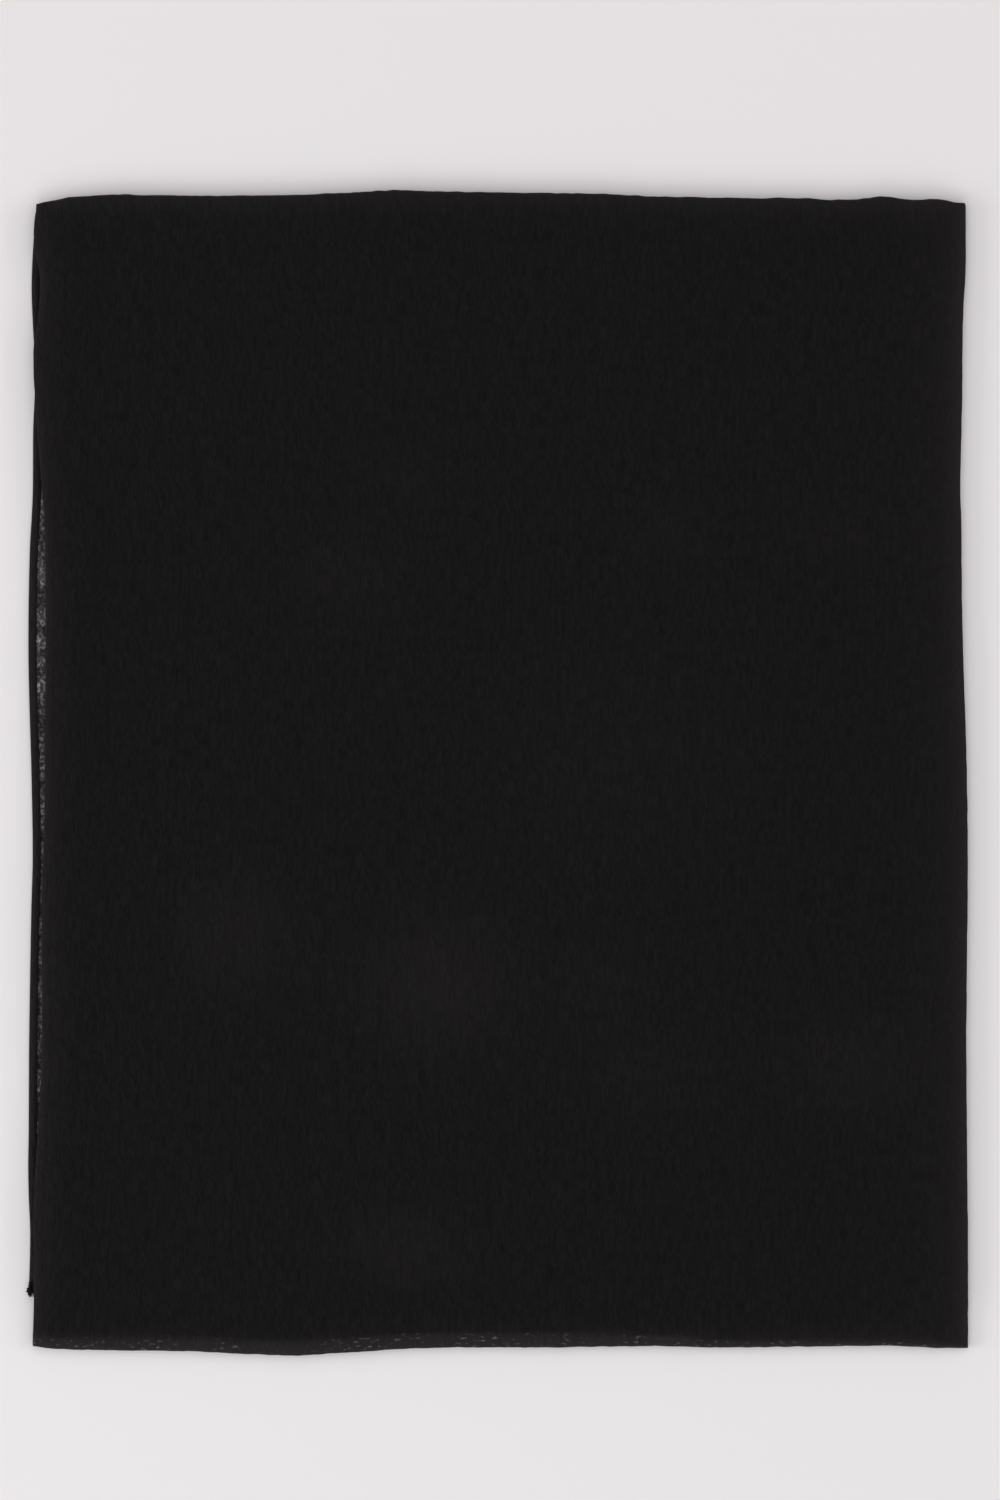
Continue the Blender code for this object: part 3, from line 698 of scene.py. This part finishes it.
def crepe_material(name, openness=0):
    """Matt crinkle crepe, with painted shade in its troughs, painted sheen and painted light by its lightness
    attribute, and painted glints where only two plies lie. Light comes through it by its openness where it's
    sheer.
    """
    material = bpy.data.materials.new(name)
    material.use_nodes = True
    nodes, link = material.node_tree.nodes, material.node_tree.links.new
    surface = nodes["Principled BSDF"]
    surface.inputs["Roughness"].default_value = 0.85
    surface.inputs["Specular IOR Level"].default_value = 0.06
    surface.inputs["Sheen Weight"].default_value = 0.025
    surface.inputs["Sheen Roughness"].default_value = 0.35
    place = nodes.new("ShaderNodeUVMap")
    place.uv_map = "cloth"

    def noise(across, along, detail, distortion=0.0):
        """Noise with cells of this size across and along the cloth."""
        size = nodes.new("ShaderNodeMapping")
        size.inputs["Scale"].default_value = (1 / across, 1 / along, 1)
        link(place.outputs["UV"], size.inputs["Vector"])
        made = nodes.new("ShaderNodeTexNoise")
        made.noise_dimensions = "2D"
        made.inputs["Scale"].default_value = 1
        made.inputs["Detail"].default_value = detail
        made.inputs["Distortion"].default_value = distortion
        link(size.outputs["Vector"], made.inputs["Vector"])
        return made.outputs["Fac"]

    def bump(height, distance, under=None):
        made = nodes.new("ShaderNodeBump")
        made.inputs["Strength"].default_value = 1
        made.inputs["Distance"].default_value = distance
        link(height, made.inputs["Height"])
        if under:
            link(under, made.inputs["Normal"])
        return made.outputs["Normal"]

    def between(value, low, high, low_result, high_result):
        made = nodes.new("ShaderNodeMapRange")
        made.inputs["From Min"].default_value = low
        made.inputs["From Max"].default_value = high
        made.inputs["To Min"].default_value = low_result
        made.inputs["To Max"].default_value = high_result
        link(value, made.inputs["Value"])
        return made.outputs["Result"]

    def attribute(name):
        made = nodes.new("ShaderNodeAttribute")
        made.attribute_name = name
        return made.outputs["Fac"]

    def product(first, second):
        made = nodes.new("ShaderNodeMath")
        made.operation = "MULTIPLY"
        link(first, made.inputs[0])
        link(second, made.inputs[1])
        return made.outputs["Value"]

    def colour_mix(share, first, second):
        made = nodes.new("ShaderNodeMix")
        made.data_type = "RGBA"
        link(share, made.inputs["Factor"])
        made.inputs["B"].default_value = second
        if isinstance(first, tuple):
            made.inputs["A"].default_value = first
        else:
            link(first, made.inputs["A"])
        return made.outputs["Result"]

    crinkles = noise(1.7 * MM, 4.8 * MM, 1.5, distortion=0.8)
    grain = noise(0.45 * MM, 0.6 * MM, 1.0)
    link(bump(grain, GRAIN_RELIEF, bump(crinkles, CRINKLE_RELIEF)), surface.inputs["Normal"])
    # Painted shade: the troughs between the crinkles are coloured darker, as if shaded
    cloth = colour_mix(between(crinkles, 0.3, 0.7, 0, 1), SHADED_TROUGH, CREST)
    # Painted sheen at the edges and swells and painted light on the two-ply band, by the attribute; it also
    # gives the hems a lighter tone
    cloth = colour_mix(attribute("nap"), cloth, FUZZ_AND_PAINTED_LIGHT)
    # Painted glints of light coming through the two plies at the front fold, in clusters
    glints = between(noise(2.6 * MM, 1.2 * MM, 1.5), 0.61, 0.78, 0, 1)
    clusters = between(noise(11 * MM, 40 * MM, 0), 0.35, 0.65, 0.15, 1)
    cloth = colour_mix(product(product(attribute("thin"), clusters), glints), cloth, GLINT)
    link(cloth, surface.inputs["Base Color"])
    if not openness:
        return material

    weave = noise(1.2 * MM, 1.5 * MM, 2, distortion=0.3)
    gaps = between(weave, 0.40, 0.72, 0.75 * openness, 1.5 * openness)
    # More open in some stretches along the strip than in others
    gaps = product(gaps, between(noise(30 * MM, 5 * MM, 1), 0.35, 0.65, 0.82, 1.14))
    mix = nodes.new("ShaderNodeMixShader")
    link(product(attribute("sheer"), gaps), mix.inputs["Fac"])
    link(surface.outputs["BSDF"], mix.inputs[1])
    link(nodes.new("ShaderNodeBsdfTransparent").outputs["BSDF"], mix.inputs[2])
    link(mix.outputs["Shader"], nodes["Material Output"].inputs["Surface"])
    return material


def plain_material(name, colour, roughness, specular):
    material = bpy.data.materials.new(name)
    material.use_nodes = True
    surface = material.node_tree.nodes["Principled BSDF"]
    surface.inputs["Base Color"].default_value = colour
    surface.inputs["Roughness"].default_value = roughness
    surface.inputs["Specular IOR Level"].default_value = specular
    return material


def make_shawl():
    dense = crepe_material("black_crinkle_crepe")
    top = upper_cloth(dense)
    bottom = lower_cloth(crepe_material("black_single_crepe", openness=SINGLE_PLY_OPENNESS))
    plies = hidden_plies(dense)
    bottom_hem = lower_hem(dense)
    top_hem = upper_hem(dense)
    strands = hem_corner(dense)
    thread = plain_material("black_thread", (0.009, 0.0083, 0.0084, 1), roughness=0.8, specular=0.06)
    bottom_stitches, top_stitches = hem_stitches(thread)
    slots = {
        "crinkle_crepe": [top, bottom, plies],
        "hem": [bottom_hem, top_hem, bottom_stitches, top_stitches, *strands],
    }
    for slot, pieces in slots.items():
        for piece in pieces:
            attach(piece, "root")
    stands_for = {
        "upper_sheet": [top], "lower_sheet": [bottom], "middle_layers": [plies], "upper_hem": [top_hem],
        "lower_hem": [bottom_hem], "hem_corner": strands,
    }
    for solid, pieces in stands_for.items():
        for piece in pieces:
            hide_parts(solid)


FLOOR_SIZE = 16
FLOOR_LEVEL = -0.3 * MM


def make_floor():
    bpy.ops.mesh.primitive_plane_add(size=FLOOR_SIZE, location=(0, 0, FLOOR_LEVEL))
    floor = bpy.context.object
    floor.name = "floor"
    paint = plain_material("pale_floor", (0.815, 0.794, 0.800, 1), roughness=0.9, specular=0.3)
    floor.data.materials.append(paint)


# Large soft lights: place, size, power and colour. The strongest stand low on the left and at the front.
Lamp = namedtuple("Lamp", "name place size power colour")
LAMPS = [
    Lamp("left_softbox", (-2.3, -0.4, 0.7), (1.4, 0.9), 31, (1, 0.99, 0.98)),
    Lamp("right_softbox", (2.4, 0.1, 1.1), (1.4, 1.0), 13, (1, 0.99, 0.99)),
    Lamp("front_softbox", (-0.3, -2.1, 1.6), (1.8, 1.2), 14, (0.95, 1, 1)),
    Lamp("back_softbox", (0.2, 2.2, 2.0), (1.8, 1.2), 9.5, (1, 0.80, 0.88)),
]


ROOM_LIGHT = 0.595


def make_lights():
    world = bpy.data.worlds.new("studio")
    bpy.context.scene.world = world
    world.use_nodes = True
    world.node_tree.nodes["Background"].inputs["Color"].default_value = (1, 1, 1, 1)
    world.node_tree.nodes["Background"].inputs["Strength"].default_value = ROOM_LIGHT
    for lamp in LAMPS:
        light = bpy.data.lights.new(lamp.name, "AREA")
        light.shape = "RECTANGLE"
        light.size, light.size_y = lamp.size
        light.energy = lamp.power
        light.color = lamp.colour
        made = bpy.data.objects.new(lamp.name, light)
        bpy.context.scene.collection.objects.link(made)
        made.location = lamp.place
        made.rotation_euler = (-made.location).to_track_quat("-Z", "Y").to_euler()


# The photograph's frame: 1000 x 1500 pixels of 0.4 mm, with the packet's middle at this pixel
PIXEL = 0.4 * MM
FRAME_WIDTH, FRAME_HEIGHT = 1000, 1500
PACKET_PIXEL = (497.65, 772.35)
LENS = 150
SENSOR = 36


def make_camera():
    data = bpy.data.cameras.new("camera")
    data.sensor_width = SENSOR
    data.lens = LENS
    camera = bpy.data.objects.new("camera", data)
    bpy.context.scene.collection.objects.link(camera)
    distance = FRAME_HEIGHT * PIXEL * LENS / SENSOR
    x = (FRAME_WIDTH / 2 - PACKET_PIXEL[0]) * PIXEL
    y = (PACKET_PIXEL[1] - FRAME_HEIGHT / 2) * PIXEL
    camera.location = (x, y, distance + STACK / 2)
    bpy.context.scene.camera = camera
    bpy.context.scene.view_settings.view_transform = "Standard"


make_shawl()
make_floor()
make_lights()
make_camera()
